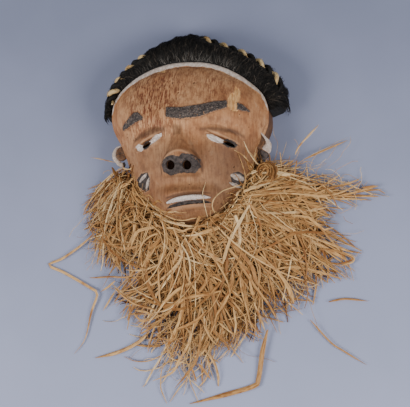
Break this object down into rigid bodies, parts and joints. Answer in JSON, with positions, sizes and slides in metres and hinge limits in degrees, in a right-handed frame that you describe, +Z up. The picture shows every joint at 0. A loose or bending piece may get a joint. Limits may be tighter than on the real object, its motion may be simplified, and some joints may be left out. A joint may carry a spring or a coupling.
{
  "type": "pende mask",
  "caption": "Carved wooden face mask with a black fibre wig, a twisted cord and a raffia beard, lying on its back rim.",
  "frame": {"origin": "under the middle of the whole object, on the surface that it lies on", "axes": "+Z up out of the face, +Y towards the forehead, +X towards the viewer's right"},
  "size_m": [0.3715, 0.4151, 0.098],
  "materials": {
    "wood": "old carved wood, matt, stained orange-brown",
    "black_fibre": "black-dyed plant fibre pile",
    "cream_fibre": "natural twisted plant fibre",
    "raffia": "dry raffia strips, slight sheen"
  },
  "bodies": {
    "root": {"face": "wood", "coiffure": "black_fibre", "coiffure_cord_black": "black_fibre", "coiffure_cord_cream": "cream_fibre", "raffia_collar": "raffia", "raffia_left": "raffia", "raffia_chin": "raffia", "raffia_right": "raffia", "raffia_strand_01": "raffia", "raffia_strand_02": "raffia", "raffia_strand_03": "raffia", "raffia_strand_04": "raffia", "raffia_strand_05": "raffia", "raffia_strand_06": "raffia", "raffia_strand_07": "raffia", "raffia_strand_08": "raffia", "raffia_strand_09": "raffia", "raffia_strand_10": "raffia", "raffia_strand_11": "raffia", "raffia_strand_12": "raffia", "raffia_strand_13": "raffia"}
  },
  "joints": []
}
